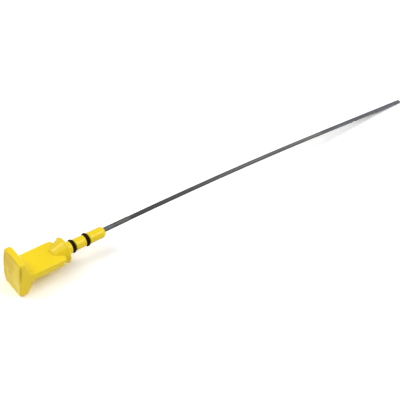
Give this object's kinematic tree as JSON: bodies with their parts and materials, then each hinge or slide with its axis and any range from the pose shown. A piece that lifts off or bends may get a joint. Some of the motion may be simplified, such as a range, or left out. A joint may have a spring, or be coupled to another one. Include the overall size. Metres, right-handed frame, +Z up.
{
  "type": "engine oil dipstick",
  "caption": "Engine oil dipstick: a moulded pull handle, a stem with rubber seal rings that plugs the guide tube, and a long bowed steel rod with a flat measuring blade.",
  "frame": {"origin": "centre of the flange's seating face, on the axis of the stem", "axes": "+X along the stem towards the measuring blade, Y across the web, +Z up from the floor the stick lies on"},
  "size_m": [0.6066, 0.0294, 0.0456],
  "materials": {
    "yellow_plastic": "smooth moulded, slightly glossy",
    "black_rubber": "satin black rubber",
    "rod_steel": "dull drawn spring steel"
  },
  "bodies": {
    "root": {"handle": "yellow_plastic", "upper_seal": "black_rubber", "lower_seal": "black_rubber", "rod": "rod_steel"}
  },
  "joints": []
}
